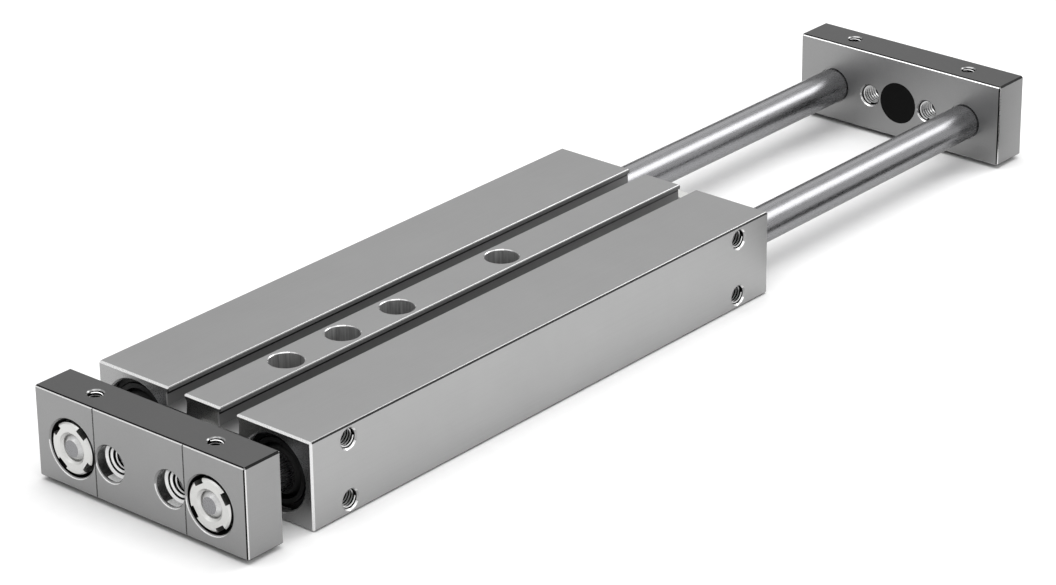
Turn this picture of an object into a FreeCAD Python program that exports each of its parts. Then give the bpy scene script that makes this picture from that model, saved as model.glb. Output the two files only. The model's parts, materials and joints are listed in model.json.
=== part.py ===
import FreeCAD, Part
import os

# Guided pneumatic cylinder: two rods run right through one body and share a yoke plate at each end.
# X runs along the stroke, Y across the two rods and Z up. The origin is the middle of the underside.
# The front end is at -X and the left side at +Y. The yokes stand at the end of their travel to +X.
# All sizes are in millimetres.

# Bores, rods and travel
stroke = 100.0
bore_d = 20.0
rod_d = 10.0
rod_spacing = 46.0
running_clearance = 0.05
seat_clearance = 0.02

# Body
wall_over_bore = 1.75
wall_beside_bore = 2.5
body_chamfer = 0.5
bore_mouth_chamfer = 0.4

# Sensor slots in the top of the body, one each side of the middle rib
rib_width = 12.0
slot_opening = 5.4
slot_width = 6.6
slot_lip = 1.2
slot_depth = 5.0
slot_mouth_chamfer = 0.3

# Bolt holes down through the middle rib
rib_hole_first = 29.0
rib_hole_pitch = 20.0
rib_hole_steps = (0, 1, 2, 4)
rib_hole_d = 5.5
rib_counterbore_d = 9.0
rib_counterbore_depth = 7.0
rib_hole_chamfer = 0.2

# Air ports in the right side of the body, two at each end, the lower one drilled on to the far bore
port_inset = 12.75
port_rise = 8.0
port_d = 5.0
port_chamfer = 0.4
port_break_into_bore = 0.55
cross_drill_d = 3.4

# Stop screws in the middle of the end faces, with their lock nuts
stop_d = 6.0
stop_hole_depth = 12.0
stop_hole_room = 1.0
stop_head_width = 10.0
stop_head_height = 4.0
stop_hex_chamfer = 0.5
stop_nut_height = 3.2
stop_gap = 0.2

# Glands that close the bores and carry the rod, with places measured in from the end face of the body
collar_depth = 1.7
collar_wall = 1.2
ring_depth = 1.9
ring_groove_reach = 0.5
ring_thickness = 1.0
ring_room = 0.3
ring_opening = 7.0
gland_land_end = 9.9
gland_end = 24.5
gland_air_gap = 1.0
gland_rod_clearance = 0.4
seal_wall = 2.15
seal_pocket_length = 5.0
seal_lip_thickness = 0.8
gland_web = 1.5
bush_wall = 1.45
oring_place = 5.2
oring_width = 2.2
oring_section = 1.7
oring_side_gap = 0.1

# Pistons, pressed onto the rods
piston_length = 25.0
piston_end_room = 0.75
piston_radial_room = 0.25
magnet_offset = 5.5
magnet_width = 5.2
magnet_section = 2.65
magnet_recess = 0.35
piston_seal_offset = -5.5
piston_seal_width = 4.2
piston_seal_section = 2.65

# Yoke plates
yoke_gap = 9.4
plate_thickness = 12.0
plate_margin = 12.0
plate_height = 24.2
plate_lift = 1.0
plate_chamfer = 0.5
rod_seat_depth = 2.0
rod_relief_width = 0.3
rod_relief_depth = 0.5
face_hole_spacing = 20.0
face_hole_d = 6.0
face_counterbore_d = 9.3
face_counterbore_depth = 3.0
face_drill_slope = 0.577
face_hole_chamfer = 0.4
top_hole_spacing = 40.0
top_hole_d = 4.0
top_hole_floor = 1.0
top_hole_chamfer = 0.3
face_line_spacing = 30.0
face_line_width = 0.4
face_line_depth = 0.2
buffer_d = 12.3
buffer_thickness = 3.0
buffer_chamfer = 0.2

# Rod ends and the slotted round nuts that hold the yoke plates
stud_d = 7.0
stud_tip_chamfer = 1.3
rod_shoulder_chamfer = 0.3
nut_d = 13.4
nut_pocket_room = 0.8
nut_height = 5.5
nut_chamfer = 0.4
nut_countersink = 0.7
nut_notch_count = 4
nut_notch_width = 3.0
nut_notch_depth = 1.3
# How far each nut is turned, in degrees from its first notch lying along +Y
nut_turns = {("front", "left"): 36.0, ("front", "right"): 57.0,
             ("rear", "left"): 14.0, ("rear", "right"): 71.0}

# Worked out from the sizes above
bore_r = bore_d / 2
rod_r = rod_d / 2
body_height = bore_d + 2 * wall_over_bore
body_width = rod_spacing + bore_d + 2 * wall_beside_bore
chamber_length = piston_length + 2 * piston_end_room + stroke
body_length = chamber_length + 2 * gland_end
body_end = body_length / 2
axis_z = body_height / 2
plate_width = rod_spacing + 2 * plate_margin
plate_top = plate_lift + plate_height
bush_d = rod_d + 2 * (running_clearance + bush_wall)
seal_pocket_d = rod_d + 2 * (running_clearance + seal_wall)
collar_d = seal_pocket_d + 2 * collar_wall
ring_inner_d = collar_d + 2 * ring_room
ring_groove_d = bore_d + 2 * ring_groove_reach
gland_waist_d = bore_d - 2 * gland_air_gap
oring_groove_d = bore_d - 2 * oring_section
seal_running_d = bore_d - 2 * running_clearance
magnet_d = bore_d - 2 * magnet_recess
nut_pocket_d = nut_d + 2 * nut_pocket_room
rod_relief_d = rod_d + 2 * rod_relief_width
face_cone_height = (face_counterbore_d - face_hole_d) / 2 * face_drill_slope
rod_span = body_length + stroke + 2 * yoke_gap
travel_middle = stroke / 2

ENDS = {"front": -1, "rear": 1}
SIDES = {"left": 1, "right": -1}
ORIGIN = FreeCAD.Vector(0, 0, 0)
X_AXIS = FreeCAD.Vector(1, 0, 0)
Y_AXIS = FreeCAD.Vector(0, 1, 0)
Z_AXIS = FreeCAD.Vector(0, 0, 1)


def turned(section):
    """Solid turned about the X axis from a closed section of (x, radius) corners."""
    corners = [FreeCAD.Vector(x, 0, radius) for x, radius in section]
    face = Part.Face(Part.makePolygon(corners + corners[:1]))
    return face.revolve(ORIGIN, X_AXIS, 360)


def ring(start, end, inner_d, outer_d):
    """Plain ring about the X axis."""
    return turned([(start, inner_d / 2), (end, inner_d / 2), (end, outer_d / 2), (start, outer_d / 2)])


def block(x, y, z, start):
    """Box of the given lengths with its lowest corner at start."""
    return Part.makeBox(x, y, z, FreeCAD.Vector(*start))


def hole(diameter, depth, start, axis):
    """Drill, from start along axis."""
    return Part.makeCylinder(diameter / 2, depth, FreeCAD.Vector(*start), axis)


def countersink(diameter, chamfer, start, axis):
    """Cone that breaks the edge of a hole that starts at start and runs along axis."""
    return Part.makeCone(diameter / 2 + chamfer, diameter / 2, chamfer, FreeCAD.Vector(*start), axis)


def hexagon(width, height, chamfer, hole_d=0):
    """Hexagon along X from zero to height, its corners turned down at the far end."""
    corner_r = width / 3 ** 0.5
    corners = []
    for step in range(7):
        corners.append(FreeCAD.Rotation(X_AXIS, 60 * step).multVec(FreeCAD.Vector(0, corner_r, 0)))
    bar = Part.Face(Part.makePolygon(corners)).extrude(FreeCAD.Vector(height, 0, 0))
    blank = turned([(0, 0), (height, 0), (height, corner_r - chamfer), (height - chamfer, corner_r),
                    (0, corner_r)])
    head = bar.common(blank)
    if hole_d:
        head = head.cut(hole(hole_d, height, (0, 0, 0), X_AXIS))
    return head


def in_bore_end(shape, end, side):
    """Place a piece that is drawn with its depth into the bore along +X."""
    shape = shape.copy()
    if ENDS[end] > 0:
        shape.rotate(ORIGIN, Z_AXIS, 180)
    shape.translate(FreeCAD.Vector(ENDS[end] * body_end, SIDES[side] * rod_spacing / 2, axis_z))
    return shape


def on_rod(shape, x, side):
    """Place a piece that is drawn about the X axis onto one rod, with its own zero at x."""
    shape = shape.copy()
    shape.translate(FreeCAD.Vector(x, SIDES[side] * rod_spacing / 2, axis_z))
    return shape


def plate_inner_face(end):
    """X of the face of one yoke plate that looks at the body."""
    return travel_middle + ENDS[end] * rod_span / 2


def slot_cutter(side):
    """Sensor slot with two lips, run out past both ends of the body."""
    middle = SIDES[side] * (rib_width + slot_opening) / 2
    half_mouth = slot_opening / 2
    half_width = slot_width / 2
    half = [(half_mouth + slot_mouth_chamfer, body_height), (half_mouth, body_height - slot_mouth_chamfer),
            (half_mouth, body_height - slot_lip), (half_width, body_height - slot_lip),
            (half_width, body_height - slot_depth)]
    outline = [(y, z) for y, z in half] + [(-y, z) for y, z in reversed(half)]
    corners = [FreeCAD.Vector(-body_end, middle + y, z) for y, z in outline]
    return Part.Face(Part.makePolygon(corners + corners[:1])).extrude(FreeCAD.Vector(body_length, 0, 0))


def bore_cutter(side):
    """Through bore with a chamfered mouth and a ring groove at each end."""
    mouth_r = bore_r + bore_mouth_chamfer
    groove_r = ring_groove_d / 2
    groove_start = body_end - ring_depth
    groove_end = groove_start - ring_thickness - seat_clearance
    half = [(body_end, mouth_r), (body_end - bore_mouth_chamfer, bore_r), (groove_start, bore_r),
            (groove_start, groove_r), (groove_end, groove_r), (groove_end, bore_r)]
    other_half = [(-x, r) for x, r in reversed(half)]
    return on_rod(turned([(body_end, 0)] + half + other_half + [(-body_end, 0)]), 0, side)


def rib_hole_cutters():
    """Bolt holes through the middle rib, counterbored for a cap screw from above."""
    cutters = []
    for step in rib_hole_steps:
        x = -body_end + rib_hole_first + step * rib_hole_pitch
        cutters.append(hole(rib_hole_d, body_height, (x, 0, 0), Z_AXIS))
        cutters.append(hole(rib_counterbore_d, rib_counterbore_depth, (x, 0, body_height), -Z_AXIS))
        cutters.append(countersink(rib_counterbore_d, rib_hole_chamfer, (x, 0, body_height), -Z_AXIS))
        cutters.append(countersink(rib_hole_d, rib_hole_chamfer, (x, 0, 0), Z_AXIS))
    return cutters


def port_cutters():
    """Two air ports at each end of the right side, which just break into the space around the gland's
    waist, and the drilling that feeds the left bore."""
    cutters = []
    side_y = -body_width / 2
    lowest = port_rise - port_d / 2
    wall = wall_beside_bore + bore_r - (bore_r ** 2 - lowest ** 2) ** 0.5
    depth = wall + port_break_into_bore
    for end in ENDS:
        x = ENDS[end] * (body_end - port_inset)
        for level in (-port_rise, port_rise):
            start = (x, side_y, axis_z + level)
            cutters.append(hole(port_d, depth, start, Y_AXIS))
            cutters.append(countersink(port_d, port_chamfer, start, Y_AXIS))
        cutters.append(hole(cross_drill_d, rod_spacing, (x, -rod_spacing / 2, axis_z - port_rise), Y_AXIS))
    return cutters


def make_body():
    """Body: one extruded block with two bores, two sensor slots and its bolt holes and ports."""
    shape = block(body_length, body_width, body_height, (-body_end, -body_width / 2, 0))
    shape = shape.makeChamfer(body_chamfer, shape.Edges)
    cutters = rib_hole_cutters() + port_cutters()
    for side in SIDES:
        cutters += [slot_cutter(side), bore_cutter(side)]
    for end in ENDS:
        start = (ENDS[end] * body_end, 0, axis_z)
        cutters.append(hole(stop_d, stop_hole_depth, start, -ENDS[end] * X_AXIS))
    return shape.cut(cutters)


def make_gland():
    """Gland: collar, sealing land with its ring groove, and a slim waist that lets the air past."""
    land_r = bore_r - seat_clearance
    waist_r = gland_waist_d / 2
    shoulder = ring_depth + ring_thickness + seat_clearance
    rod_hole_r = rod_r + gland_rod_clearance
    groove_r = oring_groove_d / 2
    groove_start = oring_place - oring_side_gap
    groove_end = oring_place + oring_width + oring_side_gap
    seal_end = collar_depth + seal_pocket_length
    bush_start = seal_end + gland_web
    outside = [(collar_depth, collar_d / 2), (shoulder, collar_d / 2), (shoulder, land_r),
               (groove_start, land_r), (groove_start, groove_r), (groove_end, groove_r),
               (groove_end, land_r), (gland_land_end, land_r), (gland_land_end, waist_r),
               (gland_end, waist_r)]
    inside = [(gland_end, bush_d / 2), (bush_start, bush_d / 2), (bush_start, rod_hole_r),
              (seal_end, rod_hole_r), (seal_end, seal_pocket_d / 2), (collar_depth, seal_pocket_d / 2)]
    return turned(outside + inside)


def make_rod_seal():
    """Rod seal in the open pocket of the gland, with a wiper lip that stands out from its front."""
    end = collar_depth + seal_pocket_length
    inner_r = rod_r + running_clearance
    outer_r = seal_pocket_d / 2 - seat_clearance
    heel = end - seal_pocket_length / 2
    return turned([(collar_depth, inner_r), (end, inner_r), (end, outer_r), (heel, outer_r),
                   (collar_depth, inner_r + seal_lip_thickness)])


def make_guide_bush():
    """Plain guide bush, pressed into the gland from the pressure side."""
    start = collar_depth + seal_pocket_length + gland_web
    return ring(start, gland_end, rod_d + 2 * running_clearance, bush_d - 2 * seat_clearance)


def make_gland_oring():
    """Ring that seals the gland in the bore."""
    inner_d = oring_groove_d + 2 * seat_clearance
    return ring(oring_place, oring_place + oring_width, inner_d, bore_d - 2 * seat_clearance)


def make_snap_ring():
    """Open ring in the bore groove that holds the gland in, its gap at the bottom."""
    outer_d = ring_groove_d - 2 * seat_clearance
    shape = ring(ring_depth, ring_depth + ring_thickness, ring_inner_d, outer_d)
    return shape.cut(block(ring_thickness, ring_opening, outer_d, (ring_depth, -ring_opening / 2, -outer_d)))


def make_rod():
    """Rod with a threaded stud at each end, centred on zero."""
    shoulder = rod_span / 2 + rod_seat_depth
    tip = rod_span / 2 + plate_thickness
    stud_r = stud_d / 2
    half = [(shoulder - rod_shoulder_chamfer, rod_r), (shoulder, rod_r - rod_shoulder_chamfer),
            (shoulder, stud_r), (tip - stud_tip_chamfer, stud_r), (tip, stud_r - stud_tip_chamfer)]
    other_half = [(-x, r) for x, r in reversed(half)]
    return turned([(-tip, 0)] + other_half + half + [(tip, 0)])


def make_piston():
    """Piston with one groove for its seal and one for its magnet, centred on zero."""
    half = piston_length / 2
    shape = ring(-half, half, rod_d + 2 * seat_clearance, bore_d - 2 * piston_radial_room)
    grooves = ((magnet_offset, magnet_width, magnet_d - 2 * magnet_section),
               (piston_seal_offset, piston_seal_width, seal_running_d - 2 * piston_seal_section))
    for offset, width, groove_d in grooves:
        half_groove = width / 2 + seat_clearance
        shape = shape.cut(ring(offset - half_groove, offset + half_groove, groove_d, bore_d))
    return shape


def make_piston_magnet():
    """Ring magnet that the sensors in the slots feel."""
    start = magnet_offset - magnet_width / 2
    inner_d = magnet_d - 2 * (magnet_section - seat_clearance)
    return ring(start, start + magnet_width, inner_d, magnet_d)


def make_piston_seal():
    """Seal that runs in the bore and holds pressure from either side."""
    start = piston_seal_offset - piston_seal_width / 2
    inner_d = seal_running_d - 2 * (piston_seal_section - seat_clearance)
    return ring(start, start + piston_seal_width, inner_d, seal_running_d)


def make_yoke_plate(end):
    """Yoke plate: rod seats, nut pockets, tapped face and top holes, and the pocket for its buffer. The
    counterbores of the face holes end in the cone that a drill leaves."""
    inner_x = plate_inner_face(end)
    outward = ENDS[end]
    outer_x = inner_x + outward * plate_thickness
    low_x = min(inner_x, outer_x)
    shape = block(plate_thickness, plate_width, plate_height, (low_x, -plate_width / 2, plate_lift))
    shape = shape.makeChamfer(plate_chamfer, shape.Edges)
    inwards = -outward * X_AXIS
    outwards = outward * X_AXIS
    stud_hole_d = stud_d + 2 * seat_clearance
    cutters = [hole(buffer_d, buffer_thickness, (inner_x, 0, axis_z), outwards)]
    for way in SIDES.values():
        rod_y = way * rod_spacing / 2
        cutters.append(hole(stud_hole_d, plate_thickness, (inner_x, rod_y, axis_z), outwards))
        cutters.append(hole(rod_d + 2 * seat_clearance, rod_seat_depth, (inner_x, rod_y, axis_z), outwards))
        cutters.append(hole(rod_relief_d, rod_relief_depth, (inner_x, rod_y, axis_z), outwards))
        cutters.append(hole(nut_pocket_d, nut_height, (outer_x, rod_y, axis_z), inwards))
        cutters.append(countersink(nut_pocket_d, face_hole_chamfer, (outer_x, rod_y, axis_z), inwards))
        face_y = way * face_hole_spacing / 2
        cutters.append(hole(face_hole_d, plate_thickness, (inner_x, face_y, axis_z), outwards))
        cutters.append(countersink(face_hole_d, face_hole_chamfer, (inner_x, face_y, axis_z), outwards))
        cutters.append(hole(face_counterbore_d, face_counterbore_depth, (outer_x, face_y, axis_z), inwards))
        cutters.append(countersink(face_counterbore_d, face_hole_chamfer, (outer_x, face_y, axis_z), inwards))
        cone_start = FreeCAD.Vector(outer_x - outward * face_counterbore_depth, face_y, axis_z)
        cutters.append(Part.makeCone(face_counterbore_d / 2, face_hole_d / 2, face_cone_height, cone_start, inwards))
        top_start = ((inner_x + outer_x) / 2, way * top_hole_spacing / 2, plate_top)
        top_hole_depth = plate_top - (axis_z + nut_pocket_d / 2) - top_hole_floor
        cutters.append(hole(top_hole_d, top_hole_depth, top_start, -Z_AXIS))
        cutters.append(countersink(top_hole_d, top_hole_chamfer, top_start, -Z_AXIS))
        line_y = way * face_line_spacing / 2 - face_line_width / 2
        line_x = min(outer_x, outer_x - outward * face_line_depth)
        cutters.append(block(face_line_depth, face_line_width, plate_height, (line_x, line_y, plate_lift)))
    return shape.cut(cutters)


def make_yoke_buffer(end):
    """Elastomer pad, flush in the inner face of a yoke plate, that meets the stop screw."""
    shape = turned([(0, 0), (buffer_thickness, 0), (buffer_thickness, buffer_d / 2 - seat_clearance),
                    (buffer_chamfer, buffer_d / 2 - seat_clearance),
                    (0, buffer_d / 2 - seat_clearance - buffer_chamfer)])
    if ENDS[end] < 0:
        shape.rotate(ORIGIN, Z_AXIS, 180)
    shape.translate(FreeCAD.Vector(plate_inner_face(end), 0, axis_z))
    return shape


def make_yoke_nut(turn):
    """Round nut with four notches, its outer face at zero and its body along +X."""
    outer_r = nut_d / 2
    thread_r = stud_d / 2 + seat_clearance
    shape = turned([(0, thread_r + nut_countersink), (0, outer_r - nut_chamfer), (nut_chamfer, outer_r),
                    (nut_height, outer_r), (nut_height, thread_r), (nut_countersink, thread_r)])
    for step in range(nut_notch_count):
        floor = outer_r - nut_notch_depth
        notch = block(nut_height, nut_d, nut_notch_width, (0, floor, -nut_notch_width / 2))
        notch.rotate(ORIGIN, X_AXIS, turn + 360 * step / nut_notch_count)
        shape = shape.cut(notch)
    return shape


def make_yoke_nuts():
    """The four nuts, each turned as it was left when it was tightened."""
    nuts = []
    for (end, side), turn in nut_turns.items():
        nut = make_yoke_nut(turn)
        if ENDS[end] > 0:
            nut.rotate(ORIGIN, Z_AXIS, 180)
        nuts.append(on_rod(nut, plate_inner_face(end) + ENDS[end] * plate_thickness, side))
    return Part.makeCompound(nuts)


def make_stop_screw():
    """Hexagon stop screw, drawn with the end face of the body at zero and its thread along +X."""
    head_face = stop_gap - yoke_gap
    head = hexagon(stop_head_width, stop_head_height, stop_hex_chamfer)
    head.rotate(ORIGIN, Z_AXIS, 180)
    head.translate(FreeCAD.Vector(head_face + stop_head_height, 0, 0))
    shank_start = head_face + stop_head_height
    shank_length = stop_hole_depth - stop_hole_room - shank_start
    shank = hole(stop_d - 2 * seat_clearance, shank_length, (shank_start, 0, 0), X_AXIS)
    return head.fuse(shank)


def make_stop_nut():
    """Thin hexagon lock nut against the end face of the body."""
    nut = hexagon(stop_head_width, stop_nut_height, stop_hex_chamfer, stop_d)
    nut.rotate(ORIGIN, Z_AXIS, 180)
    return nut


def on_end_face(shape, end):
    """Place a piece that is drawn about X, with the end face at zero, on the middle of an end face."""
    shape = shape.copy()
    if ENDS[end] > 0:
        shape.rotate(ORIGIN, Z_AXIS, 180)
    shape.translate(FreeCAD.Vector(ENDS[end] * body_end, 0, axis_z))
    return shape


def build():
    """All pieces by name. A name in the plural is a group of like pieces."""
    gland_set = {"glands": make_gland(), "rod_seals": make_rod_seal(), "guide_bushes": make_guide_bush(),
                 "gland_orings": make_gland_oring(), "snap_rings": make_snap_ring()}
    rod_set = {"rod": make_rod(), "piston": make_piston(), "piston_magnet": make_piston_magnet(),
               "piston_seal": make_piston_seal()}
    pieces = {"body": make_body()}
    for side in SIDES:
        for name, shape in rod_set.items():
            pieces[name + "_" + side] = on_rod(shape, travel_middle, side)
        for name, shape in gland_set.items():
            pieces[name + "_" + side] = Part.makeCompound([in_bore_end(shape, end, side) for end in ENDS])
    for end in ENDS:
        pieces["yoke_plate_" + end] = make_yoke_plate(end)
        pieces["yoke_buffer_" + end] = make_yoke_buffer(end)
    pieces["yoke_nuts"] = make_yoke_nuts()
    pieces["stop_screws"] = Part.makeCompound([on_end_face(make_stop_screw(), end) for end in ENDS])
    pieces["stop_nuts"] = Part.makeCompound([on_end_face(make_stop_nut(), end) for end in ENDS])
    return pieces


os.makedirs("parts", exist_ok=True)
for piece_name, piece in build().items():
    piece.exportStep("parts/" + piece_name + ".step")
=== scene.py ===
"""Guided pneumatic cylinder: finishes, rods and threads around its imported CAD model."""
import json
import math

import bmesh
import bpy
from bpy.props import FloatProperty, FloatVectorProperty, IntProperty, PointerProperty
from mathutils import Matrix, Quaternion, Vector


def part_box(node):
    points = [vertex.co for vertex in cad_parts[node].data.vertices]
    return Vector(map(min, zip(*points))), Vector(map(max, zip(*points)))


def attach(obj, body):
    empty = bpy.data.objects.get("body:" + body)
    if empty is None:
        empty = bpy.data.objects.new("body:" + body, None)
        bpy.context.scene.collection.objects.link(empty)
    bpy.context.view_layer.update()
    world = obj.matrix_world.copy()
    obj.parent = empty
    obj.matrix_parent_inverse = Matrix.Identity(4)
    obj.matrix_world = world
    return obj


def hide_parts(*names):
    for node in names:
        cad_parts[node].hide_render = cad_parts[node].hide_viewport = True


bl_info = {
    "name": "Guided pneumatic cylinder",
    "version": (1, 0, 0),
    "blender": (4, 5, 0),
    "location": "View3D > Sidebar > Cylinder",
    "description": "Finishes and fine detail of a twin-rod air cylinder",
    "category": "Object",
}

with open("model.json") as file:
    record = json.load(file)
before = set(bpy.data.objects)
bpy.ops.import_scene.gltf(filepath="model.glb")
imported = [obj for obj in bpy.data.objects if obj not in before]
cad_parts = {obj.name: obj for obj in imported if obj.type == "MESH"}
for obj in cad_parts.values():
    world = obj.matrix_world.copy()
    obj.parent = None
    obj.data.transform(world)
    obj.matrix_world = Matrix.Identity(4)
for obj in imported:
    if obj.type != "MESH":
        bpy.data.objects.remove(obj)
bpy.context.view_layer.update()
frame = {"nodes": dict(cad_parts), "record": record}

MM = 0.001

# Which way each side lies along Y, and each end along X
SIDES = {"left": 1, "right": -1}
ENDS = {"front": -1, "rear": 1}

BODY_LOW, BODY_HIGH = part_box("body")
AXIS_Z = (BODY_LOW.z + BODY_HIGH.z) / 2
ROD_Y = sum(corner.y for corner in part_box("rod_left")) / 2

# Widths of the painted highlight strip and the painted shade strip on a broken edge, and the bevel at the
# ends of the slots
PAINTED_HIGHLIGHT_STRIP = 0.13 * MM
DARK_STRIP = 0.28 * MM
SLOT_END_BEVEL = 0.3 * MM

# The two slots lie between these distances from the middle of the body
SLOTS_FROM, SLOTS_TO = 5 * MM, 12.5 * MM

# How near to its block's side the middle of a face on a broken edge or a chamfer is
EDGE_REACH = 0.45 * MM

# How near to a hole's radius the middle of a face on its wall is
WALL_REACH = 0.15 * MM

# Lengths that differ by less than the first are taken as equal, and vertices nearer than the second are one
SAME = 0.01 * MM
MERGE = 0.001 * MM

# Distances from the origin, in metres, at which the floor starts to fade to white and at which it is white
FLOOR_LIT, FLOOR_WHITE = 0.8, 1.6


def colour(text):
    """Linear RGB of an sRGB hex value."""
    channels = [int(text[i:i + 2], 16) / 255 for i in (1, 3, 5)]
    return tuple(c / 12.92 if c <= 0.04045 else ((c + 0.055) / 1.055) ** 2.4 for c in channels)


def swatch(name, description, text):
    """A colour that the user may change, with its default given as a hex value."""
    return FloatVectorProperty(name=name, description=description, subtype="COLOR", size=3, min=0, max=1,
                               default=colour(text))


class CylinderColours(bpy.types.PropertyGroup):
    """Base colours of the finishes."""

    anodised: swatch("Anodised top", "Clear anodised top and underside of the body", "#909090")
    # Anodised side: coloured paler than the top as painted light, on the sides and the slot floors
    side: swatch("Anodised side", "Sides of the body and floors of its slots", "#A2A2A2")
    yoke: swatch("Anodised yoke", "Clear anodised faces and ends of the yokes", "#919191")
    # Cut edge: a painted highlight on the chamfers and broken edges
    cut_edge_painted_highlight: swatch("Cut edge", "Edges broken after anodising, bare and bright", "#D8D8D8")
    # Long edge: a painted highlight strip along the body's long edges
    long_edge: swatch("Long edge", "Bare strip along the body's long edges", "#A0A0A0")
    # Scraped metal: a painted highlight on the slot-end bevels and the lower counterbore walls
    painted_highlight_patch: swatch("Scraped metal", "Scraped slot corners and worn counterbore walls", "#F0F0F0")
    # Shaded edge: a painted shade line on broken edges and under the slot lips
    painted_shade_edge: swatch("Shaded edge", "The part of a broken edge that the file didn't reach", "#1C1C1C")
    # Long edge line: painted shade under the painted highlight strip
    long_line: swatch("Long edge line", "Anodised line under the bare strip of a long edge", "#2A2A2A")
    bored: swatch("Bored aluminium", "Walls of the bolt holes in the rib", "#949494")
    counterbore: swatch("Counterbore", "Turned walls of the counterbores in the yokes", "#8C8C8C")
    # Drill cone: painted highlight
    cone: swatch("Drill cone", "Cone that the drill leaves at the foot of a counterbore", "#E0E0E0")
    # Thread crest: painted highlight on the threads
    thread_crest_painted_highlight: swatch("Thread crest", "Crests of the tapped threads, which catch the light", "#DCDCDC")
    # Thread root: painted shade in the tapped holes
    thread_root_painted_shade: swatch("Thread root", "Shaded roots of the tapped holes", "#161616")
    # Nut pocket: painted shade on the pocket walls
    pocket: swatch("Nut pocket", "Walls of the nut pockets, in their nuts' shade", "#343434")
    # Slot wall: painted shade in the sensor slots
    slot_wall: swatch("Slot wall", "Extruded walls of the sensor slots", "#747474")
    end_face: swatch("End face", "Sawn and milled end faces of the body", "#9A9A9A")
    # Yoke edge: painted shade on the yokes' top and bottom faces
    yoke_edge: swatch("Yoke edge", "Top and bottom faces of the yokes", "#565656")
    steel: swatch("Ground steel", "Ground and chromed rods", "#88888A")
    stud: swatch("Rod thread", "Threaded ends of the rods", "#C4C4C4")
    zinc: swatch("Bright zinc", "Yoke nuts, stop screws and lock nuts", "#CECECC")
    black: swatch("Black anodised", "Glands in the ends of the bores", "#0C0C0C")
    rubber: swatch("Black elastomer", "Seals and yoke buffers", "#060606")
    spring: swatch("Spring steel", "Snap rings", "#202020")
    bronze: swatch("Sintered bronze", "Guide bushes", "#A8875A")
    magnet: swatch("Magnet compound", "Plastic-bonded magnet rings", "#2E2E2E")
    floor: swatch("Floor", "Pale studio floor", "#F2F2F2")


class CylinderThreads(bpy.types.PropertyGroup):
    """Sizes of the tapped holes' threads, in metres."""

    face_pitch: FloatProperty(name="M6 pitch", description="Pitch of the yoke face holes", subtype="DISTANCE",
                              default=1.0 * MM)
    port_pitch: FloatProperty(name="M5 pitch", description="Pitch of the air ports", subtype="DISTANCE",
                              default=0.8 * MM)
    top_pitch: FloatProperty(name="M4 pitch", description="Pitch of the yoke top holes", subtype="DISTANCE",
                             default=0.7 * MM)
    steps: IntProperty(name="Steps in a turn", description="Segments in one turn of a thread", default=48,
                       min=12)


class CylinderStage(bpy.types.PropertyGroup):
    """Camera and lights."""

    camera_place: FloatVectorProperty(name="Camera place", description="Where the camera stands",
                                      subtype="TRANSLATION", size=3, default=(-0.64912, -0.58425, 0.41634))
    camera_target: FloatVectorProperty(name="Camera target", description="Point in the middle of the view",
                                       subtype="TRANSLATION", size=3, default=(0.03965, 0.00707, 0.00483))
    camera_roll: FloatProperty(name="Camera roll", description="Turn of the camera about its view axis",
                               subtype="ANGLE", default=math.radians(-0.645))
    camera_lens: FloatProperty(name="Lens", description="Focal length on a 36 mm sensor, in millimetres",
                               default=128.97)
    dome_fill: FloatProperty(name="Dome fill", description="Strength of the even light from all round",
                             default=0.6)


def settings():
    """The three groups of values on the scene."""
    scene = bpy.context.scene
    return scene.cylinder_colours, scene.cylinder_threads, scene.cylinder_stage


def add(tree, kind, inputs=None, **values):
    """Add a node, set its values and fill its inputs from constants, sockets or nodes' first outputs."""
    node = tree.nodes.new(kind)
    for name, value in values.items():
        setattr(node, name, value)
    for name, source in (inputs or {}).items():
        if isinstance(source, bpy.types.Node):
            source = source.outputs[0]
        if isinstance(source, bpy.types.NodeSocket):
            tree.links.new(source, node.inputs[name])
        else:
            node.inputs[name].default_value = source
    return node


def new_material(name):
    """Material with an empty node tree."""
    material = bpy.data.materials.new(name)
    material.use_nodes = True
    material.node_tree.nodes.clear()
    return material, material.node_tree


def grain(tree, size, stretch=(1, 1, 1)):
    """Noise on object coordinates whose grains are about the given size in metres."""
    place = add(tree, "ShaderNodeTexCoord")
    mapping = add(tree, "ShaderNodeMapping", {"Vector": place.outputs["Object"],
                                              "Scale": tuple(s / size for s in stretch)})
    return add(tree, "ShaderNodeTexNoise", {"Vector": mapping, "Scale": 1.0, "Detail": 3.0, "Roughness": 0.6})


def toned(tree, shade, noise, depth):
    """A colour that a noise makes lighter and darker by a share of it."""
    level = add(tree, "ShaderNodeMapRange", {"Value": noise, "From Min": 0.3, "From Max": 0.7,
                                             "To Min": 1 - depth, "To Max": 1 + depth})
    return add(tree, "ShaderNodeVectorMath", {0: shade, "Scale": level}, operation="SCALE")


def anodised_aluminium(name, rgb, roughness=0.39, metallic=1.0):
    """Clear anodised aluminium, extruded and then blasted before the bath: a satin grey with an even grain,
    faint lines along the extrusion and the faint clouds that the bath leaves. The grain is drawn four times
    as coarse as the real one, to show at all."""
    material, tree = new_material(name)
    fine = grain(tree, 0.25 * MM)
    lines = grain(tree, 0.5 * MM, (0.01, 1, 1))
    cloud = grain(tree, 18 * MM)
    shade = tuple(rgb)
    for noise, depth in ((fine, 0.03), (lines, 0.015), (cloud, 0.02)):
        shade = toned(tree, shade, noise, depth)
    bump = add(tree, "ShaderNodeBump", {"Height": fine, "Strength": 0.12, "Distance": 0.02 * MM})
    rough = add(tree, "ShaderNodeMapRange", {"Value": fine, "From Min": 0.3, "From Max": 0.7,
                                             "To Min": roughness - 0.03, "To Max": roughness + 0.03})
    shader = add(tree, "ShaderNodeBsdfPrincipled", {"Base Color": shade, "Metallic": metallic,
                                                    "Roughness": rough, "Normal": bump})
    add(tree, "ShaderNodeOutputMaterial", {"Surface": shader})
    return material


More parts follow.
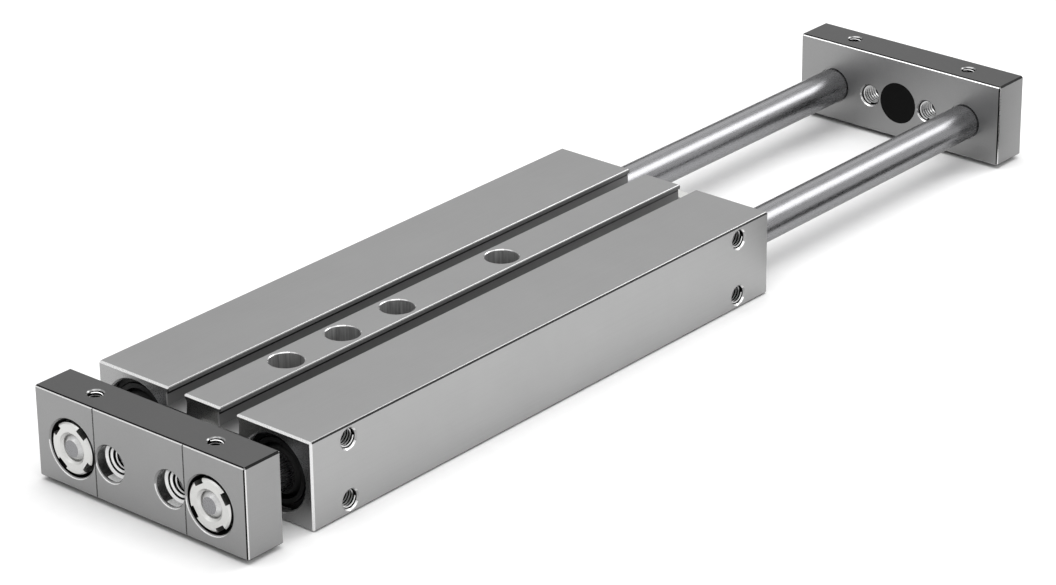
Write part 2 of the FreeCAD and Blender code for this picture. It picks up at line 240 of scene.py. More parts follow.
def plain_metal(name, rgb, roughness, grain_size, stretch=(1, 1, 1), depth=0.02 * MM, tone=0.06,
                metallic=1.0):
    """Metal with an even or a drawn-out grain in its tone, roughness and height. A real machined surface has
    lines of a few hundredths of a millimetre, so the grain is drawn about ten times as coarse, to show."""
    material, tree = new_material(name)
    noise = grain(tree, grain_size, stretch)
    shade = toned(tree, tuple(rgb), noise, tone)
    rough = add(tree, "ShaderNodeMapRange", {"Value": noise, "From Min": 0.3, "From Max": 0.7,
                                             "To Min": roughness * 0.85, "To Max": roughness * 1.15})
    bump = add(tree, "ShaderNodeBump", {"Height": noise, "Strength": 0.15, "Distance": depth})
    shader = add(tree, "ShaderNodeBsdfPrincipled", {"Base Color": shade, "Metallic": metallic,
                                                    "Roughness": rough, "Normal": bump})
    add(tree, "ShaderNodeOutputMaterial", {"Surface": shader})
    return material


def ground_steel():
    """Ground and chromed steel: fine polishing lines along the rod soften its highlight across it."""
    return plain_metal("ground_chromed_steel", settings()[0].steel, 0.28, 0.3 * MM, stretch=(0.12, 1, 1),
                       depth=0.001 * MM, tone=0.05)


def bright_zinc():
    """Turned steel with bright zinc: pale, with faint turning marks."""
    return plain_metal("bright_zinc_steel", settings()[0].zinc, 0.38, 0.25 * MM, stretch=(0.3, 1, 1))


def cut_edge_painted_highlight():
    """Chamfers and broken edges coloured bright as a painted highlight, with the faint lines of the tool."""
    return plain_metal("edge_painted_highlight_aluminium", settings()[0].cut_edge_painted_highlight, 0.28, 0.2 * MM)


def long_edge():
    """A painted highlight along the body's long edges, drawn along the extrusion: a little duller."""
    return plain_metal("long_edge_painted_highlight", settings()[0].long_edge, 0.3, 0.25 * MM, stretch=(0.1, 1, 1))


def painted_highlight_finish():
    """Painted highlight on the bevels at the slots' ends and on the lower counterbore walls: so rough that it
    scatters light.
    """
    return plain_metal("patch_aluminium_painted_highlight", settings()[0].painted_highlight_patch, 0.5, 0.3 * MM, tone=0.2, metallic=0.1)


def painted_shade_edge():
    """Part of a broken edge coloured near black: a thin painted shade line."""
    return plain_metal("edge_painted_shade_line", settings()[0].painted_shade_edge, 0.4, 0.2 * MM)


def long_line():
    """Lower part of a long edge, under the painted highlight strip: coloured dark as painted shade."""
    return plain_metal("long_line_painted_shade", settings()[0].long_line, 0.45, 0.2 * MM)


def bored_aluminium():
    """Wall of a reamed hole: soft grey with clear lines along the hole. The oxide on it scatters light."""
    return plain_metal("reamed_aluminium", settings()[0].bored, 0.4, 0.6 * MM, stretch=(1, 1, 0.06),
                       tone=0.35, metallic=0.5)


def counterbored_aluminium():
    """Turned wall of a counterbore: a clean dark shine."""
    return plain_metal("turned_counterbore", settings()[0].counterbore, 0.25, 0.25 * MM)


def painted_highlight_cone():
    """Cone that the drill's tip cut at the foot of a counterbore, coloured bright as a painted highlight."""
    return plain_metal("cone_painted_highlight_aluminium", settings()[0].cone, 0.3, 0.25 * MM)


def thread_crest_painted_highlight():
    """Crests of a cut thread, coloured bright as a painted highlight."""
    return plain_metal("tapped_crest_painted_highlight", settings()[0].thread_crest_painted_highlight, 0.35, 0.2 * MM, metallic=0.95)


def thread_root_painted_shade():
    """Roots of a cut thread and walls of tapped holes, coloured near black as painted shade."""
    return plain_metal("tapped_root_painted_shade", settings()[0].thread_root_painted_shade, 0.4, 0.2 * MM)


def painted_shade_pocket():
    """Milled wall of a nut pocket, coloured dark as painted shade."""
    return plain_metal("pocket_painted_shade", settings()[0].pocket, 0.5, 0.25 * MM)


def spring_steel():
    """Phosphated spring steel: dark with a soft shine."""
    return plain_metal("phosphated_spring_steel", settings()[0].spring, 0.45, 0.2 * MM)


def sintered_bronze():
    """Oil-filled sintered bronze: dull yellow with open pores."""
    return plain_metal("sintered_bronze", settings()[0].bronze, 0.5, 0.3 * MM, tone=0.2)


def dull_black(name, rgb, roughness, grain_size, shine=0.35):
    """Non-metal black with a faint grain, as on rubber, moulded parts and black anodising. The grain is drawn
    coarser than the real one, to show at all."""
    material, tree = new_material(name)
    noise = grain(tree, grain_size)
    shade = toned(tree, tuple(rgb), noise, 0.2)
    bump = add(tree, "ShaderNodeBump", {"Height": noise, "Strength": 0.2, "Distance": 0.03 * MM})
    rough = add(tree, "ShaderNodeMapRange", {"Value": noise, "From Min": 0.3, "From Max": 0.7,
                                             "To Min": roughness * 0.9, "To Max": min(1.0, roughness * 1.1)})
    shader = add(tree, "ShaderNodeBsdfPrincipled", {"Base Color": shade, "Roughness": rough,
                                                    "Specular IOR Level": shine, "Normal": bump})
    add(tree, "ShaderNodeOutputMaterial", {"Surface": shader})
    return material


def seen(tree):
    """Whether the camera sees a surface, by itself or in metal or through glass."""
    ray = add(tree, "ShaderNodeLightPath")
    direct = add(tree, "ShaderNodeMath", {0: ray.outputs["Is Camera Ray"], 1: ray.outputs["Is Glossy Ray"]},
                 operation="MAXIMUM")
    return add(tree, "ShaderNodeMath", {0: direct, 1: ray.outputs["Is Transmission Ray"]},
               operation="MAXIMUM")


def studio_floor():
    """Matt pale paper that takes the object's soft shadow. Past the reach of the lamps it stays white."""
    material, tree = new_material("studio_paper")
    shade = toned(tree, tuple(settings()[0].floor), grain(tree, 4 * MM), 0.01)
    shader = add(tree, "ShaderNodeBsdfPrincipled", {"Base Color": shade, "Roughness": 0.9,
                                                    "Specular IOR Level": 0.1})
    place = add(tree, "ShaderNodeTexCoord")
    reach = add(tree, "ShaderNodeVectorMath", {0: place.outputs["Object"]}, operation="LENGTH")
    far = add(tree, "ShaderNodeMapRange", {"Value": reach.outputs["Value"], "From Min": FLOOR_LIT,
                                           "From Max": FLOOR_WHITE})
    white = add(tree, "ShaderNodeMath", {0: far, 1: seen(tree)}, operation="MULTIPLY")
    glow = add(tree, "ShaderNodeEmission", {"Color": (1, 1, 1, 1), "Strength": 1.0})
    mixed = add(tree, "ShaderNodeMixShader", {0: white, 1: shader, 2: glow})
    add(tree, "ShaderNodeOutputMaterial", {"Surface": mixed})
    return material


def dress(node, material):
    """Give a CAD node one finish."""
    mesh = frame["nodes"][node].data
    mesh.materials.clear()
    mesh.materials.append(material)


def piece(name, bm, materials, body):
    """Turn a finished bmesh into a smooth-shaded piece that rides on a body. Edges sharper than 30 degrees
    stay crisp, and the normals that came in with a copied CAD mesh go."""
    for face in bm.faces:
        face.smooth = True
    for edge in bm.edges:
        edge.smooth = edge.calc_face_angle(math.pi) < math.radians(30)
    mesh = bpy.data.meshes.new(name)
    bm.to_mesh(mesh)
    bm.free()
    imported = mesh.attributes.get("custom_normal")
    if imported:
        mesh.attributes.remove(imported)
    for material in materials:
        mesh.materials.append(material)
    made = bpy.data.objects.new(name, mesh)
    bpy.context.scene.collection.objects.link(made)
    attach(made, body)
    return made


def body_of(node):
    """Name of the body that a CAD node rides on."""
    return next(body for body, nodes in frame["record"]["behaviour"]["bodies"].items() if node in nodes)


def flat(edge):
    """Whether an edge only divides a flat face that is square to the frame."""
    first, *rest = edge.link_faces
    return (len(rest) == 1 and first.normal.dot(rest[0].normal) > 0.99999
            and max(map(abs, first.normal)) > 0.9999)


def rounded(node, materials, choose=None, trim=None):
    """Copy of a CAD node, merged and shaded so that its turned walls look round. The trim function may change
    the mesh first, and the choose function gives each face's place in the list of materials."""
    bm = bmesh.new()
    bm.from_mesh(frame["nodes"][node].data)
    bmesh.ops.remove_doubles(bm, verts=bm.verts, dist=MERGE)
    bmesh.ops.dissolve_limit(bm, angle_limit=math.radians(0.2),
                             edges=[edge for edge in bm.edges if flat(edge)])
    if trim:
        trim(bm)
    for face in bm.faces:
        face.material_index = choose(face) if choose else 0
    made = piece(node + "_finished", bm, materials, body_of(node))
    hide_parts(node)
    return made


# What the first five finishes of a block are for: outer skin, broken edge with a painted highlight, holes,
# tapped walls with painted shade, and a painted shade line
SKIN, EDGE, INSIDE, ROOT, LINE = range(5)


def squared(part):
    """Whether one part of a normal says that its face is square to that axis."""
    return abs(part) > 0.99


def slanted(part):
    """Whether one part of a normal says that its face slants at about 45 degrees to that axis."""
    return 0.6 < abs(part) < 0.8


def gap(face, axis, low, high):
    """Distance of a face's middle from the nearer side of a block, along one axis."""
    middle = face.calc_center_median()[axis]
    return min(middle - low[axis], high[axis] - middle)


def kind_of(face, low, high):
    """Whether a face is on the outer skin of a block, on a broken edge or a chamfer, or inside."""
    for axis in range(3):
        square = abs(face.normal[axis])
        if square > 0.999 and gap(face, axis, low, high) < SAME:
            return SKIN
        if 0.55 < square < 0.85 and gap(face, axis, low, high) < EDGE_REACH:
            return EDGE
    return INSIDE


def edge_axes(face, low, high):
    """The two axes that a broken outer edge of a block faces, or nothing for other faces."""
    axes = [axis for axis in range(3)
            if slanted(face.normal[axis]) and gap(face, axis, low, high) < EDGE_REACH]
    return axes if len(axes) == 2 else []


def divide(bm, faces, axis, place):
    """Cut some faces by a plane square to one axis."""
    point, normal = Vector(), Vector()
    point[axis], normal[axis] = place, 1
    geom = {item for face in faces for item in (*face.verts, *face.edges, face)}
    bmesh.ops.bisect_plane(bm, geom=list(geom), dist=MERGE, plane_co=point, plane_no=normal)


def in_hole(face, axis, point, radius):
    """Whether a face is on the wall of a hole of the given radius that runs along one axis of the frame."""
    across = face.calc_center_median() - Vector(point)
    across[axis] = 0
    return abs(face.normal[axis]) < 0.1 and abs(across.length - radius) < WALL_REACH


def turned(profile, steps):
    """Closed solid turned about the X axis from (x, radius) points that start and end on the axis."""
    bm = bmesh.new()
    corners = [bm.verts.new((x, 0, radius)) for x, radius in profile]
    edges = [bm.edges.new(pair) for pair in zip(corners, corners[1:])]
    bmesh.ops.spin(bm, geom=corners + edges, cent=(0, 0, 0), axis=(1, 0, 0), angle=math.tau, steps=steps,
                   use_merge=True)
    bmesh.ops.remove_doubles(bm, verts=bm.verts, dist=MERGE)
    bmesh.ops.recalc_face_normals(bm, faces=bm.faces)
    return bm


def thread(start, axis, radius, pitch, length, steps):
    """Ridge of an internal thread, from start along axis. Its height is five eighths of the sharp triangle's,
    as in a metric thread, and its foot is sunk a little into the wall. The crest and the flanks beside it
    take the first material, a painted highlight, and the rest the second, painted shade."""
    height, sunk = 0.541 * pitch, 0.03 * MM
    crest, foot = radius - height, radius + sunk
    shoulder = crest + 0.28 * pitch
    bm = bmesh.new()
    section = [(foot, 0.15 * pitch), (shoulder, 0.27 * pitch), (crest, 0.38 * pitch), (crest, 0.62 * pitch),
               (shoulder, 0.73 * pitch), (foot, 0.85 * pitch)]
    corners = [bm.verts.new((r, 0, z)) for r, z in section]
    face = bm.faces.new(corners)
    turns = max(1, int(length / pitch) - 1)
    bmesh.ops.spin(bm, geom=[face, *face.edges, *face.verts], cent=(0, 0, 0), axis=(0, 0, 1),
                   dvec=(0, 0, pitch / steps), angle=math.tau * turns, steps=steps * turns)
    bmesh.ops.holes_fill(bm, edges=[edge for edge in bm.edges if edge.is_boundary])
    bmesh.ops.recalc_face_normals(bm, faces=bm.faces)
    for face in bm.faces:
        face.material_index = 0 if face.calc_center_median().xy.length < crest + 0.2 * pitch else 1
    turn = Vector((0, 0, 1)).rotation_difference(Vector(axis)).to_matrix().to_4x4()
    bmesh.ops.transform(bm, matrix=Matrix.Translation(start) @ turn, verts=bm.verts)
    return bm


def joined(parts):
    """One bmesh from several."""
    whole = bmesh.new()
    for part in parts:
        mesh = bpy.data.meshes.new("part")
        part.to_mesh(mesh)
        part.free()
        whole.from_mesh(mesh)
        bpy.data.meshes.remove(mesh)
    return whole


class CYLINDER_OT_body(bpy.types.Operator):
    """Finish the extruded and machined body"""

    bl_idname = "cylinder.body"
    bl_label = "Body"

    def execute(self, context):
        colours = settings()[0]

        # The slots' walls weren't blasted, so they are duller, and they are coloured darker as painted shade.
        # The milled end faces shine more, and the sides and the slot floors are coloured paler than the top
        # as painted light
        finishes = [anodised_aluminium("anodised_aluminium", colours.anodised), cut_edge_painted_highlight(), bored_aluminium(),
                    thread_root_painted_shade(), painted_shade_edge(),
                    anodised_aluminium("slot_wall_painted_shade", colours.slot_wall, roughness=0.55, metallic=0.7),
                    anodised_aluminium("milled_end_face", colours.end_face, roughness=0.28), long_edge(),
                    painted_highlight_finish(), anodised_aluminium("sides_anodised_painted_light", colours.side), long_line()]
        slot_wall, end_face, painted_highlight_strip, corner, side_painted_light, shaded = range(LINE + 1, len(finishes))
        ports = [mount for mount in frame["record"]["mounts"] if mount["name"].startswith("port_")]

        # Thickness of the slots' lips, and how far down the painted shade line under them reaches
        lip, lip_shade = 1.2 * MM, 2.05 * MM

        def in_slots(face):
            """Whether a face is in a sensor slot."""
            return SLOTS_FROM < abs(face.calc_center_median().y) < SLOTS_TO

        def along(face):
            """Whether a face is a chamfer along the body, on a slot's mouth or on one of the long edges."""
            normal = face.normal
            mouth = in_slots(face) and slanted(normal.z) and normal.z > 0 and abs(normal.x) < 0.01
            return mouth or edge_axes(face, BODY_LOW, BODY_HIGH) == [1, 2]

        def slot_end(edge):
            """Whether an edge is an upright corner between an end face and a slot's wall. An end face gives 1
            and a wall gives 2."""
            here = edge.verts[0].co
            ways = sorted(round(max(abs(face.normal.x), 2 * abs(face.normal.y)), 2)
                          for face in edge.link_faces)
            return (ways == [1, 2] and BODY_HIGH.x - abs(here.x) < SAME and abs(here.y) < SLOTS_TO
                    and here.z > AXIS_Z and abs(edge.verts[1].co.y - here.y) < SAME)

        def trim(bm):
            """Divide chamfers and slot walls where their painted highlight and painted shade change, and
            bevel the slots' corners.
            """
            divide(bm, [face for face in bm.faces if along(face)], 2, BODY_HIGH.z - PAINTED_HIGHLIGHT_STRIP)
            divide(bm, [face for face in bm.faces if in_slots(face) and squared(face.normal.y)], 2,
                   BODY_HIGH.z - lip_shade)
            bmesh.ops.bevel(bm, geom=[edge for edge in bm.edges if slot_end(edge)], offset=SLOT_END_BEVEL,
                            offset_type="OFFSET", affect="EDGES", segments=1, profile=0.5, material=-1)

        def choose(face):
            """Place of a face's finish in the list."""
            kind = kind_of(face, BODY_LOW, BODY_HIGH)
            depth = BODY_HIGH.z - face.calc_center_median().z
            if kind == SKIN and squared(face.normal.x):
                return end_face
            # Sides of the body: painted light
            if kind == SKIN and squared(face.normal.y):
                return side_painted_light
            if along(face):
                # Top strip of a long chamfer: painted highlight; below it painted shade
                return painted_highlight_strip if depth < PAINTED_HIGHLIGHT_STRIP else slot_wall if in_slots(face) else shaded
            # Bevels at the slots' ends: painted highlight
            if in_slots(face) and abs(face.normal.x) > 0.6 and abs(face.normal.z) < 0.01:
                return corner
            # Slot floors: painted light
            if in_slots(face) and face.normal.z > 0.99:
                return side_painted_light
            # Slot walls: a painted shade line under the lips, and the walls' painted shade below
            if in_slots(face) and squared(face.normal.y):
                return LINE if lip < depth < lip_shade else slot_wall
            # Tapped walls of the air ports: painted shade
            if any(in_hole(face, 1, port["pos_m"], port["dims"]["r_mm"] * MM) for port in ports):
                return ROOT
            if kind == EDGE and abs(face.normal.x) > 0.6 and not edge_axes(face, BODY_LOW, BODY_HIGH):
                return end_face
            return kind

        rounded("body", finishes, choose, trim)
        return {"FINISHED"}


class CYLINDER_OT_yokes(bpy.types.Operator):
    """Finish the yoke plates and the buffers in them"""

    bl_idname = "cylinder.yokes"
    bl_label = "Yoke plates"

    def execute(self, context):
        colours = settings()[0]

        # The plates' faces are milled and blasted as the body's top is, and their top and bottom are coloured
        # darker as painted shade
        finishes = [anodised_aluminium("anodised_yoke_face", colours.yoke), cut_edge_painted_highlight(),
                    counterbored_aluminium(), thread_root_painted_shade(), painted_shade_edge(),
                    anodised_aluminium("yoke_edge_painted_shade", colours.yoke_edge), painted_shade_pocket(),
                    painted_highlight_cone(), painted_highlight_finish()]
        yoke_edge, pocket, cone, painted_highlight_wall = range(LINE + 1, len(finishes))
        mounts = {mount["name"]: mount for mount in frame["record"]["mounts"]}

        # Cast polyurethane: matt, with hardly any shine
        rubber = dull_black("polyurethane_buffer", colours.rubber, 0.8, 0.3 * MM, shine=0.12)

        # Depths from the outer face at which a counterbore's finish changes: the foot of the painted
        # highlight on its mouth chamfer, the start of the painted highlight on its wall, and the two sides of
        # the painted shade ring on its cone
        rim, painted_highlight_from, first_cut, last_cut = 0.2 * MM, 0.9 * MM, 3.4 * MM, 3.65 * MM
        pocket_r, counterbore_r = 7.5 * MM, 4.65 * MM
        for end in ENDS:
            low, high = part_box("yoke_plate_" + end)
            face_hole = mounts["yoke_face_hole_" + end + "_left"]
            tapped_r = face_hole["dims"]["r_mm"] * MM
            top_holes = mounts["yoke_top_holes_" + end]
            half_spacing = top_holes["dims"]["spacing_y_mm"] * MM / 2

            def in_counterbore(face):
                """Whether a face is on the wall of one of the plate's two counterbores."""
                return any(in_hole(face, 0, (0, way * face_hole["pos_m"][1], AXIS_Z), counterbore_r)
                           for way in SIDES.values())

            def on_cone(face):
                """Whether a face is on the drill cone at the foot of a counterbore."""
                return 0.8 < abs(face.normal.x) < 0.95

            def on_mouth(face):
                """Whether a face is on the chamfer at the mouth of a hole."""
                return slanted(face.normal.x) and not edge_axes(face, low, high)

            def trim(bm):
                """Divide the broken edges and the counterbores where their painted highlight and painted
                shade change.
                """
                for axis, other, place in ((2, 0, high.z - DARK_STRIP), (0, 1, low.x + DARK_STRIP),
                                           (0, 1, high.x - DARK_STRIP)):
                    ways = sorted((axis, other))
                    divide(bm, [face for face in bm.faces if edge_axes(face, low, high) == ways], axis, place)
                for cut in (rim, painted_highlight_from, first_cut, last_cut):
                    cut_x = low.x + cut if ENDS[end] < 0 else high.x - cut
                    divide(bm, [face for face in bm.faces if in_counterbore(face) or on_cone(face)
                                or on_mouth(face)], 0, cut_x)

            def choose(face):
                """Place of a face's finish in the list."""
                kind = kind_of(face, low, high)
                ways = edge_axes(face, low, high)
                if ways:
                    # Edges along the plate's thickness are painted shade lines; the others are a painted
                    # shade strip beside a painted highlight strip
                    dark = 0 not in ways or gap(face, 2 if 2 in ways else 0, low, high) < DARK_STRIP
                    return LINE if dark else EDGE
                if kind == SKIN:
                    return SKIN if squared(face.normal.x) or squared(face.normal.y) else yoke_edge
                for way in SIDES.values():
                    # Tapped walls of the face and top holes: painted shade
                    if in_hole(face, 0, (0, way * face_hole["pos_m"][1], AXIS_Z), tapped_r):
                        return ROOT
                    top = (top_holes["pos_m"][0], way * half_spacing, 0)
                    if in_hole(face, 2, top, top_holes["dims"]["hole_r_mm"] * MM):
                        return ROOT
                    # Nut pocket walls: painted shade
                    if in_hole(face, 0, (0, way * ROD_Y, AXIS_Z), pocket_r):
                        return pocket
                depth = gap(face, 0, low, high)
                # The drill cone: painted highlight, with a ring of painted shade
                if on_cone(face):
                    return ROOT if first_cut < depth < last_cut else cone
                # Lower half of a mouth chamfer: painted highlight; the upper half keeps the counterbore's
                # finish
                if abs(face.normal.x) > 0.6 and face.normal.z > 0 and depth < rim:
                    return EDGE
                # Upward-facing lower counterbore walls: painted highlight
                return painted_highlight_wall if in_counterbore(face) and face.normal.z > 0.88 and depth > painted_highlight_from else INSIDE

            rounded("yoke_plate_" + end, finishes, choose, trim)
            rounded("yoke_buffer_" + end, [rubber])
        return {"FINISHED"}


class CYLINDER_OT_rods(bpy.types.Operator):
    """Turn the two rods smooth and round in place of the faceted ones"""

    bl_idname = "cylinder.rods"
    bl_label = "Rods"

    def execute(self, context):
        steel = ground_steel()

        # Turned steel with no chrome: paler than the rod, and uneven from handling
        stud = plain_metal("threaded_steel_end", settings()[0].stud, 0.35, 0.4 * MM, tone=0.15)
        rod_r, stud_r, tip_chamfer, shoulder_chamfer = 5 * MM, 3.5 * MM, 1.3 * MM, 0.3 * MM
        stud_length = 10 * MM
        for side in SIDES:
            low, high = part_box("rod_" + side)
            middle = (low.x + high.x) / 2
            tip = (high.x - low.x) / 2
            shoulder = tip - stud_length
            half = [(shoulder - shoulder_chamfer, rod_r), (shoulder, rod_r - shoulder_chamfer),
                    (shoulder, stud_r), (tip - tip_chamfer, stud_r), (tip, stud_r - tip_chamfer), (tip, 0)]
            bm = turned([(-x, r) for x, r in reversed(half)] + half, steps=96)
            place = Matrix.Translation((middle, (low.y + high.y) / 2, (low.z + high.z) / 2))
            bmesh.ops.transform(bm, matrix=place, verts=bm.verts)
            for face in bm.faces:
                off_middle = abs(face.calc_center_median().x - middle)
                face.material_index = 1 if shoulder < off_middle < tip - SAME else 0
            rod = piece("ground_rod_" + side, bm, [steel, stud], "carriage")
            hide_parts("rod_" + side)
        return {"FINISHED"}


class CYLINDER_OT_fasteners(bpy.types.Operator):
    """Finish the yoke nuts, the stop screws and their lock nuts"""

    bl_idname = "cylinder.fasteners"
    bl_label = "Nuts and stop screws"

    def execute(self, context):
        zinc = bright_zinc()
        for node in ("yoke_nuts", "stop_screws", "stop_nuts"):
            rounded(node, [zinc])
        return {"FINISHED"}


class CYLINDER_OT_bore_ends(bpy.types.Operator):
    """Finish the glands, seals, bushes and snap rings in the bore ends"""

    bl_idname = "cylinder.bore_ends"
    bl_label = "Bore ends"

    def execute(self, context):
        colours = settings()[0]

        # The glands are black anodised and satin, and the nitrile rubber is matt
        finishes = {"glands": dull_black("black_anodised_gland", colours.black, 0.5, 0.3 * MM, shine=0.2),
                    "rod_seals": dull_black("nitrile_rubber", colours.rubber, 0.6, 0.2 * MM),
                    "guide_bushes": sintered_bronze(), "snap_rings": spring_steel()}
        finishes["gland_orings"] = finishes["rod_seals"]
        for side in SIDES:
            for group, material in finishes.items():
                rounded(group + "_" + side, [material])
        return {"FINISHED"}


class CYLINDER_OT_pistons(bpy.types.Operator):
    """Finish the pistons, their seals and magnets"""

    bl_idname = "cylinder.pistons"
    bl_label = "Pistons"

    def execute(self, context):
        colours = settings()[0]

        # Turned aluminium has lines round it. The moulded rubber and the bonded magnet powder are matt
        finishes = {"piston": plain_metal("turned_aluminium", colours.bored, 0.3, 0.3 * MM,
                                          stretch=(1, 0.2, 0.2)),
                    "piston_seal": dull_black("piston_seal_rubber", colours.rubber, 0.55, 0.2 * MM),
                    "piston_magnet": dull_black("bonded_magnet", colours.magnet, 0.5, 0.2 * MM)}
        for side in SIDES:
            for group, material in finishes.items():
                dress(group + "_" + side, material)
        return {"FINISHED"}


class CYLINDER_OT_threads(bpy.types.Operator):
    """Cut threads into the tapped holes of the yokes and the air ports"""

    bl_idname = "cylinder.threads"
    bl_label = "Threads"

    def execute(self, context):
        threads = settings()[1]

        # How far in from the mouth a thread starts, the room that the counterbore takes, and threads' lengths
        lead_in, top_lead_in, counterbore_room = 0.4 * MM, 0.3 * MM, 4 * MM
        top_length, port_length = 4.6 * MM, 4.8 * MM
        # Painted highlight on the crests, painted shade on the rest
        materials = [thread_crest_painted_highlight(), thread_root_painted_shade()]
        mounts = {mount["name"]: mount for mount in frame["record"]["mounts"]}
        for end in ENDS:
            outward = ENDS[end]
            low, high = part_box("yoke_plate_" + end)
            inner_x = low.x if outward > 0 else high.x
            face = mounts["yoke_face_hole_" + end + "_left"]
            top = mounts["yoke_top_holes_" + end]["dims"]
            face_length = high.x - low.x - counterbore_room
            runs, caps = [], []
            for way in SIDES.values():
                start = (inner_x + outward * lead_in, way * face["pos_m"][1], AXIS_Z)
                runs.append(thread(start, (outward, 0, 0), face["dims"]["r_mm"] * MM, threads.face_pitch,
                                   face_length, threads.steps))
                start = ((low.x + high.x) / 2, way * top["spacing_y_mm"] * MM / 2, high.z - top_lead_in)
                caps.append(thread(start, (0, 0, -1), top["hole_r_mm"] * MM, threads.top_pitch, top_length,
                                   threads.steps))
            piece("face_threads_" + end, joined(runs), materials, "carriage")
            piece("top_threads_" + end, joined(caps), materials, "carriage")
        for end in ENDS:
            runs = []
            for level in ("upper", "lower"):
                port = mounts["port_" + end + "_" + level]
                start = (port["pos_m"][0], BODY_LOW.y + lead_in, port["pos_m"][2])
                runs.append(thread(start, (0, 1, 0), port["dims"]["r_mm"] * MM, threads.port_pitch,
                                   port_length, threads.steps))
            piece("port_threads_" + end, joined(runs), materials, "cylinder")
        return {"FINISHED"}


def lamp(name, place, target, size, energy):
    """Square soft light that looks at a point, with its size in metres and its energy in watts."""
    data = bpy.data.lights.new(name, "AREA")
    data.size = size
    data.energy = energy
    made = bpy.data.objects.new(name, data)
    made.location = place
    made.rotation_euler = (Vector(target) - Vector(place)).to_track_quat("-Z", "Y").to_euler()
    bpy.context.scene.collection.objects.link(made)


def dome(fill):
    """Even white all round: full strength where the camera or the metal sees it, weaker as light."""
    world = bpy.data.worlds.new("studio_dome")
    world.use_nodes = True
    tree = world.node_tree
    tree.nodes.clear()
    strength = add(tree, "ShaderNodeMapRange", {"Value": seen(tree), "To Min": fill, "To Max": 1.0})
    light = add(tree, "ShaderNodeBackground", {"Color": (1, 1, 1, 1), "Strength": strength})
    add(tree, "ShaderNodeOutputWorld", {"Surface": light})
    bpy.context.scene.world = world


def unseen(name, bm, material):
    """Black cloth that only the metal sees."""
    mesh = bpy.data.meshes.new(name)
    bm.to_mesh(mesh)
    bm.free()
    mesh.materials.append(material)
    made = bpy.data.objects.new(name, mesh)
    bpy.context.scene.collection.objects.link(made)
    made.visible_camera = False
    made.visible_diffuse = False
    made.visible_shadow = False


def curtain(material, radius, height, reach):
    """Low black curtain behind the far left side, a part of a drum round the object. It gives the rods and
    the broken edges their dark line."""
    bm = bmesh.new()
    foot = bm.verts.new((radius, 0, 1 * MM))
    head = bm.verts.new((radius, 0, height))
    edge = bm.edges.new((foot, head))
    bmesh.ops.spin(bm, geom=[foot, head, edge], cent=(0, 0, 0), axis=(0, 0, 1), angle=reach, steps=24)
    unseen("black_curtain", bm, material)


def floor_cloth(material, near_y, low_x, high_x, reach):
    """Black cloth that runs slantwise over the floor from beside the rods. It gives them the dark band along
    their lower half."""
    bm = bmesh.new()
    edge = bm.edges.new([bm.verts.new((x, near_y, 0.5 * MM)) for x in (low_x, high_x)])
    far = bmesh.ops.extrude_edge_only(bm, edges=[edge])["geom"]
    bmesh.ops.translate(bm, vec=reach, verts=[item for item in far if isinstance(item, bmesh.types.BMVert)])
    unseen("black_floor_cloth", bm, material)


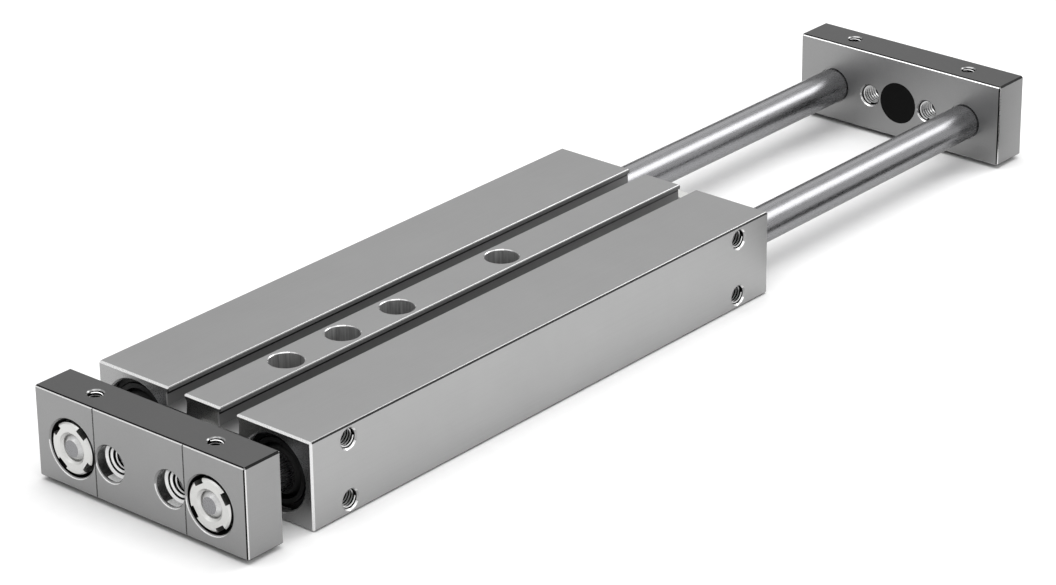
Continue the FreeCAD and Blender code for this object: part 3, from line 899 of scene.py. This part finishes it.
class CYLINDER_OT_stage(bpy.types.Operator):
    """Set the floor, the studio light and the camera"""

    bl_idname = "cylinder.stage"
    bl_label = "Stage"

    def execute(self, context):
        stage = settings()[2]
        floor_reach, floor_z = 6.0, -0.05 * MM
        bm = bmesh.new()
        bmesh.ops.create_grid(bm, x_segments=1, y_segments=1, size=floor_reach,
                              matrix=Matrix.Translation((0, 0, floor_z)))
        mesh = bpy.data.meshes.new("floor")
        bm.to_mesh(mesh)
        bm.free()
        mesh.materials.append(studio_floor())
        floor = bpy.data.objects.new("floor", mesh)
        context.scene.collection.objects.link(floor)
        dome(stage.dome_fill)

        # Black cotton, which sends back hardly any light
        black_cloth = dull_black("black_cloth", (0.01, 0.01, 0.01), 0.9, 2 * MM, shine=0.0)
        curtain(black_cloth, radius=1.4, height=0.45, reach=math.radians(75))
        floor_cloth(black_cloth, near_y=-0.045, low_x=0.1, high_x=0.21, reach=(0.24, -0.205, 0))
        lamp("overhead_softbox", (0.0, 0.1, 0.9), (0.05, 0, 0), size=1.1, energy=8)
        lamp("far_softbox", (1.05, -0.38, 0.86), (0.15, 0, 0), size=0.55, energy=4)
        lamp("back_softbox", (0.67, 0.45, 0.36), (0.09, 0, 0.02), size=0.4, energy=0.17)
        lamp("side_softbox", (-0.05, -0.6, 0.3), (-0.05, 0, 0.01), size=0.5, energy=0.9)
        data = bpy.data.cameras.new("camera")
        data.lens = stage.camera_lens
        data.sensor_width = 36
        camera = bpy.data.objects.new("camera", data)
        camera.location = stage.camera_place
        aim = Vector(stage.camera_target) - Vector(stage.camera_place)
        turn = aim.to_track_quat("-Z", "Y") @ Quaternion((0, 0, 1), stage.camera_roll)
        camera.rotation_euler = turn.to_euler()
        context.scene.collection.objects.link(camera)
        context.scene.camera = camera
        context.scene.view_settings.view_transform = "Standard"
        return {"FINISHED"}


class CYLINDER_PT_panel(bpy.types.Panel):
    """The steps that dress the cylinder"""

    bl_idname = "CYLINDER_PT_panel"
    bl_label = "Guided cylinder"
    bl_space_type = "VIEW_3D"
    bl_region_type = "UI"
    bl_category = "Cylinder"

    def draw(self, context):
        for step in STEPS:
            self.layout.operator(step.bl_idname)


GROUPS = (CylinderColours, CylinderThreads, CylinderStage)
STEPS = (CYLINDER_OT_body, CYLINDER_OT_yokes, CYLINDER_OT_rods, CYLINDER_OT_fasteners, CYLINDER_OT_bore_ends,
         CYLINDER_OT_pistons, CYLINDER_OT_threads, CYLINDER_OT_stage)


def register():
    for item in (*GROUPS, *STEPS, CYLINDER_PT_panel):
        bpy.utils.register_class(item)
    bpy.types.Scene.cylinder_colours = PointerProperty(type=CylinderColours)
    bpy.types.Scene.cylinder_threads = PointerProperty(type=CylinderThreads)
    bpy.types.Scene.cylinder_stage = PointerProperty(type=CylinderStage)


def unregister():
    del bpy.types.Scene.cylinder_stage
    del bpy.types.Scene.cylinder_threads
    del bpy.types.Scene.cylinder_colours
    for item in (CYLINDER_PT_panel, *reversed(STEPS), *reversed(GROUPS)):
        bpy.utils.unregister_class(item)


def main():
    """Register the add-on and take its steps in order."""
    register()
    for step in STEPS:
        group, name = step.bl_idname.split(".")
        getattr(getattr(bpy.ops, group), name)()


if __name__ == "__main__":
    main()
